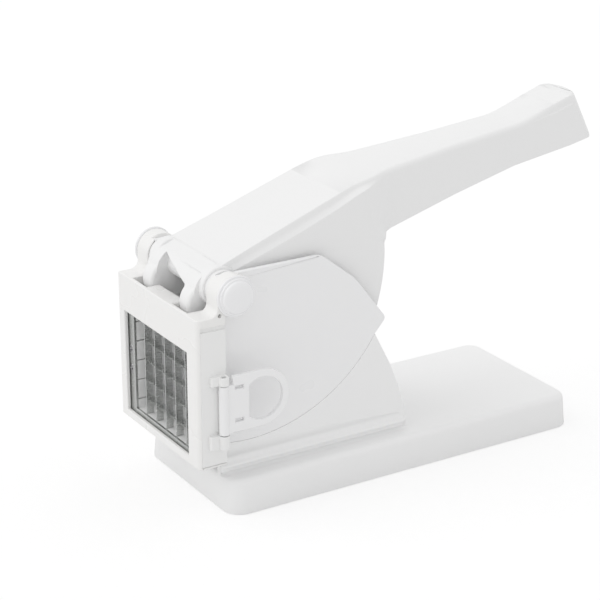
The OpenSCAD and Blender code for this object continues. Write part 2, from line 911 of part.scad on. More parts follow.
// The opening that the potato passes, through a plate from y0 to y1
module cassette_window(y0, y1) {
    box([-plate_inside, y0 - eps, chamber_mouth], [plate_inside, y1 + eps, window_top]);
}

module at_retainer_screws() {
    for (p = retainer_screw_places)
        translate([p.x, cassette_front, p.y])
            rotate([-90, 0, 0])
                children();
}

module at_panel_screws() {
    for (p = panel_screw_places)
        translate([plate_inside, p.x, p.y])
            rotate([0, 90, 0])
                children();
}

module blade_frame() {
    play = 0.04;
    half = blade_thickness / 2 + play;
    side = plate_inside + blade_seat_side + play;
    low = chamber_mouth - blade_seat_low - play;
    high = window_top + blade_seat_high + play;
    color("whitesmoke")
        difference() {
            box([cassette_left, blade_layer, cassette_low], [panel_inner, cassette_rear, cassette_high]);
            cassette_window(blade_layer, cassette_rear);
            for (i = [-half_columns : half_columns])
                box([i * blade_pitch - half, blade_layer - eps, low],
                    [i * blade_pitch + half, blade_layer + blade_depth + play, high]);
            for (j = [-half_rows : half_rows])
                box([-side, blade_layer - eps, blade_middle + j * blade_pitch - half],
                    [side, second_layer + blade_depth + play, blade_middle + j * blade_pitch + half]);
            at_retainer_screws()
                cylinder(d = screw_diameter + 2 * seat, h = retainer_screw_length + gap);
            at_panel_screws()
                screw_hole(panel_screw_length);
        }
}

// A blade strip along Z, its back at y = 0 and its ground edge towards +Y
module strip(length) {
    t = blade_thickness / 2;
    shoulder = blade_depth - 1.2;
    linear_extrude(length)
        polygon([[-t, 0], [t, 0], [t, shoulder], [t / 6, blade_depth], [-t / 6, blade_depth],
            [-t, shoulder]]);
}

module vertical_blades() {
    color("silver")
        for (i = [-half_columns : half_columns])
            translate([i * blade_pitch, blade_layer, chamber_mouth - blade_seat_low])
                strip(window_top - chamber_mouth + blade_seat_low + blade_seat_high);
}

module horizontal_blades() {
    color("silver")
        for (j = [-half_rows : half_rows])
            translate([-plate_inside - blade_seat_side, second_layer, blade_middle + j * blade_pitch])
                rotate([0, 90, 0])
                    strip(2 * (plate_inside + blade_seat_side));
}

module blade_retainer() {
    color("silver")
        difference() {
            box([cassette_left, cassette_front, cassette_low], [panel_inner, blade_layer, cassette_high]);
            cassette_window(cassette_front, blade_layer);
            at_retainer_screws()
                screw_hole(retainer_thickness + eps);
        }
}

module retainer_screws() {
    color("silver")
        at_retainer_screws()
            screw(retainer_screw_length);
}

// ---------- end panel and pull ring ----------

hinge = [frame_half_width + ring_barrel / 2 + 0.35, frame_front + 14];
ring_centre = [hinge.y + ring_radius + 7.3, ring_height + 2.6];
ring_hole_depth = 8.7;
slit_rise = 9.7;
lug_gap = 0.3;
lug_radius = ring_barrel / 2 + 0.2;
upper_lug = 5;
lower_lug = 8;
barrel_low = ring_height - ring_barrel_length / 2;
barrel_high = ring_height + ring_barrel_length / 2;
pin_low = barrel_low - lug_gap - lower_lug + 1;
ring_pin_length = ring_barrel_length + 2 * lug_gap + lower_lug + upper_lug - 2;

module lug(low, high, nose) {
    translate([hinge.x, hinge.y, low])
        cylinder(r = lug_radius, h = high - low);
    box([frame_half_width - touch, hinge.y - nose, low], [hinge.x, hinge.y + lug_radius, high]);
}

module end_panel() {
    front = panel_pocket_front + slot_play;
    step = 1.2;
    color("white")
        difference() {
            union() {
                box([panel_inner, front, panel_bottom], [frame_half_width - step, frame_rear, panel_top]);
                box([panel_inner, front, panel_bottom], [frame_half_width, frame_rear, panel_top - 2]);
                lug(barrel_high + lug_gap, barrel_high + lug_gap + upper_lug, 7);
                lug(barrel_low - lug_gap - lower_lug, barrel_low - lug_gap, 8);
            }
            translate([hinge.x, hinge.y, pin_low])
                cylinder(d = ring_pin_diameter + 2 * shaft_fit, h = ring_pin_length + 2);
            at_panel_screws()
                cylinder(d = screw_diameter + 2 * seat, h = panel_screw_length + seat);
        }
}

module panel_screws() {
    color("silver")
        at_panel_screws()
            screw(panel_screw_length);
}

module ring_pin() {
    color("silver")
        translate([hinge.x, hinge.y, pin_low])
            cylinder(d = ring_pin_diameter, h = ring_pin_length);
}

module pull_ring() {
    outer = hinge.x + ring_barrel;
    inner = hinge.x - ring_barrel;
    web_start = hinge.y + lug_radius + 2;
    web_end = ring_centre.x - ring_hole_depth;
    slit = [web_start + 1.5, web_end - 3.5];
    color("white")
        difference() {
            union() {
                across(hinge.x - ring_thickness / 2, hinge.x + ring_thickness / 2)
                    polygon(concat(
                        [[hinge.y, barrel_high], [hinge.y, barrel_low]],
                        [[web_start, barrel_low], [web_start, ring_centre.y - ring_radius]],
                        arc(ring_centre, ring_radius, -90, 90, 32),
                        [[web_start, ring_centre.y + ring_radius], [web_start, barrel_high]]));
                translate([hinge.x, hinge.y, barrel_low])
                    cylinder(d = ring_barrel, h = ring_barrel_length);
            }
            intersection() {
                rod(ring_centre, ring_radius - ring_rim, inner, outer);
                box([inner, web_end, 0], [outer, ring_centre.x + ring_radius, 2 * ring_height]);
            }
            for (z = [-slit_rise, slit_rise])
                box([inner, slit[0], ring_centre.y + z - 1], [outer, slit[1], ring_centre.y + z + 1]);
            translate([hinge.x, hinge.y, barrel_low - eps])
                cylinder(d = ring_pin_diameter + 2 * ring_play, h = ring_barrel_length + 2 * eps);
        }
}

base_shell();
base_plate();
base_pads();
base_screws();
pedestal();
pedestal_screws();
chamber_floor();
left_side_plate();
right_side_plate();
front_frame();
frame_screws();
pivot_shaft();
left_cap();
right_cap();
lever_shell();
handle_cover();
handle_screws();
pusher_plate();
pusher_screws();
blade_frame();
vertical_blades();
horizontal_blades();
blade_retainer();
retainer_screws();
end_panel();
panel_screws();
ring_pin();
pull_ring();
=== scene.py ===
import json
import math

import bmesh
import bpy
from mathutils import Matrix, Vector


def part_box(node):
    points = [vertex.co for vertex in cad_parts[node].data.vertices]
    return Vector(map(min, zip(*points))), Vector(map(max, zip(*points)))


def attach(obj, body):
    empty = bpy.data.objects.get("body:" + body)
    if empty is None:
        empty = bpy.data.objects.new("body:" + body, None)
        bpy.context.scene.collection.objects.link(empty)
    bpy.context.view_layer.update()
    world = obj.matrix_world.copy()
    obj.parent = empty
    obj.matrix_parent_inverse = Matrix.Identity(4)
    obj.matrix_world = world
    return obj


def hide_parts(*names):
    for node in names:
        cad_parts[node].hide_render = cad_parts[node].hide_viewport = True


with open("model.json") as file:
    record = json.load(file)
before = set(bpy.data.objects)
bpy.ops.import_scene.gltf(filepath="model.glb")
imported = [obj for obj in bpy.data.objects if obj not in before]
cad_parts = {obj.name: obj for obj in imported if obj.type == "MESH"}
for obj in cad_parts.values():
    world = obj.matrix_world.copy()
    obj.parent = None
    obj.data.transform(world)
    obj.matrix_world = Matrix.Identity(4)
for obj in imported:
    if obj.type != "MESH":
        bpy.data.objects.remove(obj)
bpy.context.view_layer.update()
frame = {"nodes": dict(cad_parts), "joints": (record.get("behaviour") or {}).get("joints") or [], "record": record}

MM = 0.001
joints = {joint["name"]: joint for joint in frame["joints"]}
pivot = Vector(joints["lever_swing"]["pos_m"])


# ---------------------------------------------------------------------------------------------
# Base
# The foot of the cutter is one hollow moulding in glossy white plastic, drafted so that it leaves
# its tool, with upright corners and a generous rounding round its top edge.

base_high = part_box("base_shell")[1]
base_draft = 1.5 * MM
base_corner, least_corner = 11 * MM, 1 * MM
base_edge, base_edge_steps = 4 * MM, 8
base_wall = 3 * MM
base_foot_edge, base_foot_step = 0.6 * MM, 0.2 * MM


def moulded_plastic(name, colour, roughness=0.3, grain=1.0):
    """Glossy injection-moulded plastic: faint clouds in its colour and gloss, and a fine moulded skin."""
    material = bpy.data.materials.new(name)
    material.use_nodes = True
    nodes, links = material.node_tree.nodes, material.node_tree.links
    shader = nodes["Principled BSDF"]
    shader.inputs["IOR"].default_value = 1.49
    place = nodes.new("ShaderNodeTexCoord")

    clouds = nodes.new("ShaderNodeTexNoise")
    clouds.inputs["Scale"].default_value = 26
    clouds.inputs["Detail"].default_value = 3
    links.new(place.outputs["Object"], clouds.inputs["Vector"])
    tint = nodes.new("ShaderNodeValToRGB")
    tint.color_ramp.interpolation = "EASE"
    tint.color_ramp.elements[0].position = 0.2
    tint.color_ramp.elements[0].color = (*[c * 0.995 for c in colour], 1)
    tint.color_ramp.elements[1].position = 0.8
    tint.color_ramp.elements[1].color = (*colour, 1)
    links.new(clouds.outputs["Fac"], tint.inputs["Fac"])
    links.new(tint.outputs["Color"], shader.inputs["Base Color"])

    gloss = nodes.new("ShaderNodeMapRange")
    gloss.interpolation_type = "SMOOTHSTEP"
    gloss.inputs["From Min"].default_value = 0.2
    gloss.inputs["From Max"].default_value = 0.8
    gloss.inputs["To Min"].default_value = roughness - 0.01
    gloss.inputs["To Max"].default_value = roughness + 0.02
    links.new(clouds.outputs["Fac"], gloss.inputs["Value"])
    links.new(gloss.outputs["Result"], shader.inputs["Roughness"])

    skin = nodes.new("ShaderNodeTexNoise")
    skin.inputs["Scale"].default_value = 1400
    skin.inputs["Detail"].default_value = 2
    links.new(place.outputs["Object"], skin.inputs["Vector"])
    bump = nodes.new("ShaderNodeBump")
    bump.inputs["Strength"].default_value = 0.05 * grain
    bump.inputs["Distance"].default_value = 0.05 * MM
    links.new(skin.outputs["Fac"], bump.inputs["Height"])
    links.new(bump.outputs["Normal"], shader.inputs["Normal"])
    return material


def rounded(corners, steps=8):
    """A closed outline from corners (x, y, radius), as a list of 2D points."""
    outline = []
    for i, (x, y, radius) in enumerate(corners):
        here = Vector((x, y))
        if radius == 0:
            outline.append(here)
            continue
        before = (Vector(corners[i - 1][:2]) - here).normalized()
        after = (Vector(corners[(i + 1) % len(corners)][:2]) - here).normalized()
        half = before.angle(after) / 2
        centre = here + (before + after).normalized() * radius / math.sin(half)
        first = here + before * radius / math.tan(half) - centre
        sweep = first.angle_signed(here + after * radius / math.tan(half) - centre)
        for step in range(steps + 1):
            turn = -sweep * step / steps
            cos, sin = math.cos(turn), math.sin(turn)
            outline.append(centre + Vector((first.x * cos - first.y * sin, first.x * sin + first.y * cos)))
    return outline


def rectangle(half_x, half_y, radius, steps=12):
    """A rectangle around the origin with rounded corners."""
    signs = [(-1, -1), (1, -1), (1, 1), (-1, 1)]
    return rounded([(sx * half_x, sy * half_y, radius) for sx, sy in signs], steps)


def lofted(rings):
    """A closed mesh through rings of equally many points, the first and last ring filled."""
    shape = bmesh.new()
    loops = [[shape.verts.new(point) for point in ring] for ring in rings]
    count = len(loops[0])
    for lower, upper in zip(loops, loops[1:]):
        for i in range(count):
            j = (i + 1) % count
            shape.faces.new((lower[i], lower[j], upper[j], upper[i]))
    shape.faces.new(loops[0][::-1])
    shape.faces.new(loops[-1])
    bmesh.ops.recalc_face_normals(shape, faces=shape.faces)
    return shape


def as_object(name, shape):
    """Turns a bmesh into an object of the scene and frees it."""
    mesh = bpy.data.meshes.new(name)
    shape.to_mesh(mesh)
    shape.free()
    item = bpy.data.objects.new(name, mesh)
    bpy.context.scene.collection.objects.link(item)
    return item


def applied(item):
    """Replaces an object's mesh by what its modifiers make of it."""
    graph = bpy.context.evaluated_depsgraph_get()
    mesh = bpy.data.meshes.new_from_object(item.evaluated_get(graph))
    item.modifiers.clear()
    item.data = mesh
    return item


def smooth(item, sharp=32):
    """Shades an object smooth, with edges over the given angle left sharp."""
    for face in item.data.polygons:
        face.use_smooth = True
    item.data.set_sharp_from_angle(angle=math.radians(sharp))
    return item


def edged(item, radius, segments=3, sharp=35, steep=180):
    """Rounds the outward edges between two angles, as a mould leaves them, and shades the faces flat."""
    shape = bmesh.new()
    shape.from_mesh(item.data)
    weight = shape.edges.layers.float.new("bevel_weight_edge")
    for edge in shape.edges:
        angle = math.degrees(edge.calc_face_angle())
        edge[weight] = edge.is_convex and sharp < angle < steep
    shape.to_mesh(item.data)
    shape.free()
    bevel = item.modifiers.new("edges", "BEVEL")
    bevel.width = radius
    bevel.segments = segments
    bevel.limit_method = "WEIGHT"
    bevel.use_clamp_overlap = False
    smooth(applied(item))
    weighted = item.modifiers.new("flats", "WEIGHTED_NORMAL")
    weighted.keep_sharp = True
    return applied(item)


def fitted(piece, body, material, node):
    """Gives a piece its material and its place on a body, for the node that it stands for."""
    piece.data.materials.clear()
    piece.data.materials.append(material)
    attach(piece, body)
    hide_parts(node)


def base_ring(inset, height):
    """One level of the base, drawn in from its foot."""
    outline = rectangle(base_high.x - inset, base_high.y - inset, max(base_corner - inset, least_corner))
    return [(p.x, p.y, height) for p in outline]


def base_side(height):
    """How far the drafted side is drawn in at a height."""
    return base_draft * height / (base_high.z - base_edge)


white = moulded_plastic("white moulded plastic", (0.93, 0.93, 0.93))

rings = [base_ring(base_wall, 0), base_ring(base_foot_edge, 0), base_ring(base_foot_step, base_foot_step)]
rings += [base_ring(base_side(height), height) for height in (base_foot_edge, base_high.z - base_edge)]
for step in range(1, base_edge_steps + 1):
    turn = math.radians(90) * step / base_edge_steps
    inset = base_draft + base_edge * (1 - math.cos(turn))
    rings.append(base_ring(inset, base_high.z - base_edge + base_edge * math.sin(turn)))
shape = lofted(rings)

# The face that closes the foot is opened and its rim drawn up to the underside of the top
bottom = [face for face in shape.faces
          if len(face.verts) > 4 and all(abs(vertex.co.z) < 1e-7 for vertex in face.verts)]
bmesh.ops.delete(shape, geom=bottom, context="FACES_ONLY")
rim = [edge for edge in shape.edges if edge.is_boundary]
for part in bmesh.ops.extrude_edge_only(shape, edges=rim)["geom"]:
    if isinstance(part, bmesh.types.BMVert):
        part.co.z = base_high.z - base_wall
bmesh.ops.contextual_create(shape, geom=[edge for edge in shape.edges if edge.is_boundary])
bmesh.ops.recalc_face_normals(shape, faces=shape.faces)
base = smooth(as_object("base", shape))
fitted(base, "housing", white, "base_shell")


# ---------------------------------------------------------------------------------------------
# Pedestal
# The pedestal is a hollow moulding that stands on the base. It ends below in a rounded bead with a
# soft cove under it, and above in a shallow arc on which the two side plates stand.

pedestal_half, pedestal_wall = 37 * MM, 3 * MM
pedestal_inside = pedestal_half - pedestal_wall
pedestal_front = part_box("pedestal")[0].y
pedestal_back = pivot.y + 119 * MM
foot_corner = 4
# The foot in section, as distance out from the wall and height above the base
foot_section = [
    (-0.6, 10.5), (0.02, 10.5), (0.15, 8.4), (0.5, 7.0), (1.1, 6.1), (1.6, 5.7), (1.95, 5.2), (2.0, 4.6),
    (1.75, 4.1), (1.1, 3.7), (0.5, 3.2), (0.15, 2.5), (0.1, 1.8), (0.35, 1.1), (0.9, 0.55), (1.8, 0.2),
    (2.8, 0.05), (-0.6, 0.05)
]


def carried(node):
    """A welded copy of a CAD node, its flat faces whole again."""
    shape = bmesh.new()
    shape.from_mesh(frame["nodes"][node].data)
    bmesh.ops.remove_doubles(shape, verts=shape.verts, dist=0.001 * MM)
    flat = math.radians(0.5)
    bmesh.ops.dissolve_limit(shape, angle_limit=flat, verts=shape.verts, edges=shape.edges)
    return as_object(node + "_moulding", shape)


def combined(item, tool, operation):
    """Joins a tool to an item, cuts it away or keeps what both share, and deletes the tool."""
    join = item.modifiers.new("join", "BOOLEAN")
    join.operation = operation
    join.solver = "MANIFOLD"
    join.object = tool
    applied(item)
    bpy.data.objects.remove(tool)
    return item


foot_middle = (pedestal_front + pedestal_back) / 2
foot_half = (pedestal_back - pedestal_front) / 2
loops = []
for out, height in foot_section:
    outline = rectangle(pedestal_half + out * MM, foot_half + out * MM, (foot_corner + out) * MM, 10)
    loops.append([(p.x, p.y + foot_middle, base_high.z + height * MM) for p in outline])
shape = bmesh.new()
rows = [[shape.verts.new(point) for point in loop] for loop in loops]
for lower, upper in zip(rows, rows[1:] + rows[:1]):
    for i in range(len(lower)):
        j = (i + 1) % len(lower)
        shape.faces.new((lower[i], lower[j], upper[j], upper[i]))
bmesh.ops.recalc_face_normals(shape, faces=shape.faces)
foot = as_object("foot", shape)

# The foot ends at the frame and is open between the walls there
beyond, overlap = 60 * MM, 1 * MM
right_front = [(beyond, 0), (pedestal_inside, 0), (pedestal_inside, overlap)]
open_front = [(-beyond, -beyond), (beyond, -beyond)] + right_front + [(-x, y) for x, y in right_front[::-1]]
in_front = lofted([[(x, pedestal_front + y, z) for x, y in open_front] for z in (0, beyond)])
combined(foot, as_object("in_front", in_front), "DIFFERENCE")

pedestal = combined(edged(carried("pedestal"), 0.35 * MM), foot, "UNION")
fitted(smooth(pedestal), "housing", white, "pedestal")


# ---------------------------------------------------------------------------------------------
# Side plates and potato chamber
# Two leaf-shaped plates, moulded flat with softened edges, wall the chamber. They are fixed to the
# frame's ears by the shaft and stand on the pedestal's arc. A curved floor lies between them.

plate_white = moulded_plastic("side plate plastic", (0.925, 0.925, 0.93), 0.28)

for node in ("left_side_plate", "right_side_plate"):
    plate = edged(carried(node), 0.45 * MM, 4)
    fitted(plate, "housing", plate_white, node)

chamber_floor = edged(carried("chamber_floor"), 0.4 * MM, 2)
fitted(chamber_floor, "housing", white, "chamber_floor")


# ---------------------------------------------------------------------------------------------
# Front frame
# The deep frame is one moulding with its window, the side slot for the cassette, two saddles in its
# top bar and the ears that carry the shaft. Two screws hold its tongue on the pedestal's shelf.

frame_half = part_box("front_frame")[1].x / MM
# A small vent hole in the frame's right side, below the cap, its place relative to the pivot
vent_place, vent_radius, vent_depth = (-9.8, -9.6), 1.15, 2.5
# The frame's white is tinted slightly warm: painted warm light, standing in for the warm light on its front face
frame_white = moulded_plastic("frame plastic", (0.91, 0.905, 0.895), 0.27)


def on_circle(centre, radius, start, stop, steps):
    """Points of an arc between two angles in degrees, each as a corner without rounding."""
    turns = [math.radians(start + (stop - start) * i / steps) for i in range(steps + 1)]
    return [(centre[0] + radius * math.cos(t), centre[1] + radius * math.sin(t), 0) for t in turns]


def from_pivot(name, shape):
    """An object from a shape drawn in millimetres around the pivot."""
    bmesh.ops.transform(shape, matrix=Matrix.Translation(pivot) @ Matrix.Scale(MM, 4), verts=shape.verts)
    return as_object(name, shape)


def across(outline, x0, x1):
    """A prism along X over an outline drawn around the pivot."""
    return lofted([[(x, p[0], p[1]) for p in outline] for x in (x0, x1)])


def circle(centre, radius, steps):
    """A closed outline of equal steps."""
    return on_circle(centre, radius, 0, 360 - 360 / steps, steps - 1)


def rod(centre, radius, x0, x1):
    """A rod along X around a point drawn around the pivot."""
    return across(circle(centre, radius, 96), x0, x1)


front_frame = edged(carried("front_frame"), 0.7 * MM, 4, steep=100)
vent = from_pivot("vent", rod(vent_place, vent_radius, frame_half - vent_depth, frame_half + 1))
combined(front_frame, vent, "DIFFERENCE")
fitted(front_frame, "housing", frame_white, "front_frame")


# ---------------------------------------------------------------------------------------------
# Shaft and caps
# A polished steel shaft is pressed through both ears and side plates. Domed plastic caps snap over
# its ends and hide them.

# The cap's section as (radius, height over the ear's face): spigot, two rings, domed face
cap_section = [
    (7.3, -3), (7.5, -2.8), (7.5, 0.05), (11.1, 0.05), (11.5, 0.2), (11.7, 0.5), (11.7, 1.2), (11.5, 1.5),
    (11.1, 1.62), (10.6, 1.65), (10.5, 1.8), (10.5, 2.5), (10.3, 2.8), (9.9, 2.92), (9.5, 2.95),
    (9.4, 3.1), (9.25, 3.7), (8.8, 4.25), (8, 4.7), (6.6, 5.1), (4.6, 5.4), (2.4, 5.55), (0.3, 5.6)
]
cap_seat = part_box("right_cap")[1].x - cap_section[-1][1] * MM
# The caps' white is tinted slightly blue: painted cool shade, standing in for the cool light on their shaded side
cap_white = moulded_plastic("cap plastic", (0.925, 0.925, 0.935), 0.22, 0.6)


def ground_steel(name, colour, roughness, stretch, grain=1.0):
    """Bare steel with a fine directional grain: stretch is long across the grain, in 1/m per axis."""
    material = bpy.data.materials.new(name)
    material.use_nodes = True
    nodes, links = material.node_tree.nodes, material.node_tree.links
    shader = nodes["Principled BSDF"]
    shader.inputs["Metallic"].default_value = 1
    shader.inputs["Base Color"].default_value = (*colour, 1)
    place = nodes.new("ShaderNodeTexCoord")
    turn = nodes.new("ShaderNodeMapping")
    turn.inputs["Scale"].default_value = stretch
    links.new(place.outputs["Object"], turn.inputs["Vector"])
    streaks = nodes.new("ShaderNodeTexNoise")
    streaks.inputs["Scale"].default_value = 1
    streaks.inputs["Detail"].default_value = 4
    links.new(turn.outputs["Vector"], streaks.inputs["Vector"])
    gloss = nodes.new("ShaderNodeMapRange")
    gloss.inputs["From Min"].default_value = 0.3
    gloss.inputs["From Max"].default_value = 0.7
    gloss.inputs["To Min"].default_value = roughness - 0.08
    gloss.inputs["To Max"].default_value = roughness + 0.1
    links.new(streaks.outputs["Fac"], gloss.inputs["Value"])
    links.new(gloss.outputs["Result"], shader.inputs["Roughness"])
    bump = nodes.new("ShaderNodeBump")
    bump.inputs["Strength"].default_value = 0.15 * grain
    bump.inputs["Distance"].default_value = 0.02 * MM
    links.new(streaks.outputs["Fac"], bump.inputs["Height"])
    links.new(bump.outputs["Normal"], shader.inputs["Normal"])
    return material


shaft_steel = ground_steel("turned steel", (0.62, 0.62, 0.63), 0.22, (4000, 300, 300))
shaft = edged(carried("pivot_shaft"), 0.5 * MM, 2)
fitted(shaft, "housing", shaft_steel, "pivot_shaft")


def lathe(profile, steps=48):
    """A closed solid turned around Z from a profile of (radius, height) points, lowest first."""
    turns = [2 * math.pi * i / steps for i in range(steps)]
    return lofted([[(r * math.cos(t), r * math.sin(t), z) for t in turns] for r, z in profile])


for node, side in (("left_cap", -1), ("right_cap", 1)):
    shape = lathe([(r * MM, z * MM) for r, z in cap_section])
    bmesh.ops.rotate(shape, matrix=Matrix.Rotation(math.radians(90 * side), 3, "Y"), verts=shape.verts)
    bmesh.ops.translate(shape, vec=pivot + Vector((side * cap_seat, 0, 0)), verts=shape.verts)
    fitted(smooth(as_object(node + "_dome", shape), 50), "housing", cap_white, node)


# ---------------------------------------------------------------------------------------------
# Lever
# The lever is the largest moulding: a sheet between two cheeks, a handle that grows out of it, and
# knuckles that run on the shaft. Its top edges are banded over the cheeks and rounded on the handle.

wall = 3
sheet_front, kink, flare, end_top = (-5.8, 8.86), (92, 43.3), (212, 56.3), (257.5, 70.8)
# The lever's side view, relative to the pivot in millimetres, each corner with its rounding
lever_top = [(*sheet_front, 0), (*kink, 90), (*flare, 60), (*end_top, 4)]
lever_end = [(272.6, 41.2, 6)]
lever_under = [(250, 37.2, 0), (210, 30.9, 0), (112.5, 9.2, 4)]
lever_below = [(42.6, -78.2, 0), (36.3, -81.3, 0), (-0.1, -6.7, 0)]
sector_radius, sector_start, sector_low, sector_steps = 107, 3, -18, 7
# Distances behind the pivot: where the underside starts, where the bands have ended, where the rim starts
underside_start, waist, rim_start = 109, 150, 262
# Half widths against the distance behind the pivot: of the whole plan, and of the flat top
cheek_half = 31
lever_plan = [(-20, cheek_half, 0), (95, cheek_half, 12), (113, 22.5, 25), (166, 17.2, 80), (210, 15.5, 80),
              (252, 16.4, 30), (290, 14.6, 0)]
top_plan = [(0, 29.4), (14, 28.4), (35, 27.6), (55, 27), (75, 26.5), (94, 25.2), (119, 20.6)]
# Depth of the band between them, and its section: the width left at each share of the depth
band_depth = [(0, 5.6), (22, 6.3), (49, 6.6), (72, 6), (93, 3.8), (105, 3.2)]
band_section = [(0, 1), (0.05, 0.93), (0.5, 0.74), (0.6, 0.66), (0.9, 0.12), (0.94, 0.02), (1, 0)]
# The shallower band along the handle's end, its section, its width and how much deeper it is
rebate_section = [(0, 1), (0.1, 0.8), (0.35, 0.66), (0.84, 0.56), (0.95, 0.08), (1, 0)]
rebate_width, rebate_extra, rebate_share = 1.6, 2.2, 0.95
# Stretches over which the bands fade out and the rebate begins
band_fade, rebate_rise = (88, 113), (218, 238)
edge_rounding, low_rounding = 3.2, 0.9
sector_edge, sector_rounding = 1.2, 0.8
# How deep the edge's rings lie, as shares of its depth
ring_shares = [0, 0.02, 0.05, 0.1, 0.17, 0.25, 0.35, 0.45, 0.55, 0.66, 0.78, 0.86, 0.92, 0.97, 1, 1.08]
# The cheeks keep their width below this line under the handle, and swell out over a stretch across it
shoulder_top, shoulder_foot = Vector((81.2, 31.1)), Vector((106.2, 6.5))
shoulder_swell = (-9, 1.5)
# How far below the top line an edge still counts as a top edge, and the spacings of the mesh
top_zone = 4
line_spacing, grid_spacing = 4, 3


def read_off(table, x):
    """The value at x of a line through a table's points."""
    if x <= table[0][0]:
        return table[0][1]
    for (x0, y0), (x1, y1) in zip(table, table[1:]):
        if x <= x1:
            return y0 + (y1 - y0) * (x - x0) / (x1 - x0)
    return table[-1][1]


def eased(low, high, x):
    """Rises smoothly from 0 at low to 1 at high."""
    t = min(max((x - low) / (high - low), 0), 1)
    return t * t * (3 - 2 * t)


def spaced(points, step):
    """The same open line with no stretch longer than the step."""
    line = [points[0]]
    for a, b in zip(points, points[1:]):
        parts = max(1, math.ceil((b - a).length / step))
        line += [a + (b - a) * i / parts for i in range(1, parts + 1)]
    return line


plan_line = [(p.x, p.y) for p in rounded(lever_plan + [(290, -50, 0), (-20, -50, 0)]) if p.y > 0]
shoulder_along = (shoulder_foot - shoulder_top).normalized()


def half_width(p):
    """Half of the lever's width at a point of its side view."""
    plan = read_off(plan_line, p.x)
    below = (p - shoulder_top).cross(shoulder_along)
    return plan + (cheek_half - plan) * eased(*shoulder_swell, below)


def rounding(radius, depth):
    """How far a rounded edge draws in at a depth below the outline."""
    if depth >= radius:
        return 0
    return radius - math.sqrt(radius ** 2 - (radius - depth) ** 2)


def edge_at(p):
    """The lever's edge at a point of its outline: its depth, rounding, share of band and band's width."""
    on_top = p.y > read_off([sheet_front, kink, flare, end_top, (rim_start, 62)], p.x) - top_zone
    if on_top and p.x < waist:
        banded = 1 - eased(*band_fade, p.x)
        return [read_off(band_depth, p.x), edge_rounding, banded, half_width(p) - read_off(top_plan, p.x)]
    if on_top and p.x < rim_start:
        flared = eased(*rebate_rise, p.x)
        return [edge_rounding + rebate_extra * flared, edge_rounding, rebate_share * flared, rebate_width]
    if p.x > underside_start:
        return [low_rounding, low_rounding, 0, rebate_width]
    return [sector_edge, sector_rounding, 0, 0]


sector = on_circle((0, 0), sector_radius, sector_start, sector_low, sector_steps)
outline = rounded(lever_top + lever_end + lever_under + sector + lever_below, 10)
line = spaced(outline + [Vector(sheet_front)], line_spacing)[:-1]
count = len(line)

# The edge's values are evened out along the line three times, so that no step shows
edges = [edge_at(p) for p in line]
for turn in range(3):
    edges = [[(a + 2 * b + c) / 4 for a, b, c in zip(edges[i - 1], edges[i], edges[(i + 1) % count])]
             for i in range(count)]

# The right half is built from rings that go in over the edge, and a flat side that closes them
shape = bmesh.new()
is_side = shape.faces.layers.int.new("side")
rings = []
for share in ring_shares:
    ring = []
    for i, (height, radius, banded, width) in enumerate(edges):
        along = (line[(i + 1) % count] - line[i - 1]).normalized()
        depth = share * max(height, radius)
        q = line[i] + Vector((along.y, -along.x)) * depth
        section = band_section if line[i].x < waist else rebate_section
        draw = (1 - banded) * rounding(radius, depth) + banded * width * read_off(section, depth / height)
        ring.append(shape.verts.new((max(half_width(q) - draw, 1), q.x, q.y)))
    rings.append(ring)
for outer, inner in zip(rings, rings[1:]):
    for i in range(count):
        j = (i + 1) % count
        shape.faces.new((outer[i], outer[j], inner[j], inner[i]))
shape.faces.new(rings[-1])[is_side] = 1

# The side is cut into a grid, so that it can follow the plan, and the half is mirrored
cuts = [((0, station, 0), (0, 1, 0)) for station in range(84, 276, grid_spacing)]
cuts += [((0, 0, level), (0, 0, 1)) for level in range(-6, 62, grid_spacing)]
for place, normal in cuts:
    everything = shape.verts[:] + shape.edges[:] + shape.faces[:]
    bmesh.ops.bisect_plane(shape, geom=everything, plane_co=place, plane_no=normal, dist=1e-4)
for vertex in shape.verts:
    if all(face[is_side] for face in vertex.link_faces):
        vertex.co.x = half_width(Vector(vertex.co.yz))
mirrored = bmesh.ops.duplicate(shape, geom=shape.verts[:] + shape.edges[:] + shape.faces[:])
for item in mirrored["geom"]:
    if isinstance(item, bmesh.types.BMVert):
        item.co.x = -item.co.x
bmesh.ops.bridge_loops(shape, edges=[edge for edge in shape.edges if edge.is_boundary])
bmesh.ops.recalc_face_normals(shape, faces=shape.faces)


def upright(centre, radius, low, high, steps=32):
    """An upright rod, its place and heights drawn from the pivot."""
    return lofted([[(p[0], p[1], height) for p in circle(centre, radius, steps)] for height in (low, high)])


def islands(item):
    """The box of each separate solid of an object."""
    shape = bmesh.new()
    shape.from_mesh(item.data)
    bmesh.ops.remove_doubles(shape, verts=shape.verts, dist=1e-6)
    boxes, seen = [], set()
    for start in shape.verts:
        if start in seen:
            continue
        heap, found = [start], {start}
        while heap:
            for edge in heap.pop().link_edges:
                for vertex in edge.verts:
                    if vertex not in found:
                        found.add(vertex)
                        heap.append(vertex)
        seen |= found
        boxes.append([Vector([pick(v.co[axis] for v in found) for axis in range(3)])
                      for pick in (min, max)])
    shape.free()
    return boxes


lever = from_pivot("lever", shape)

# The end's corners are rounded around the slant of its face, by cutting away a block around what is
# kept. In plan: half its width, how far its middle stands out, the radii of corners and middle, its rim
end_half, end_bulge, end_corner, end_arc, end_edge = 16.6, 4.2, 9, 40, 2.4
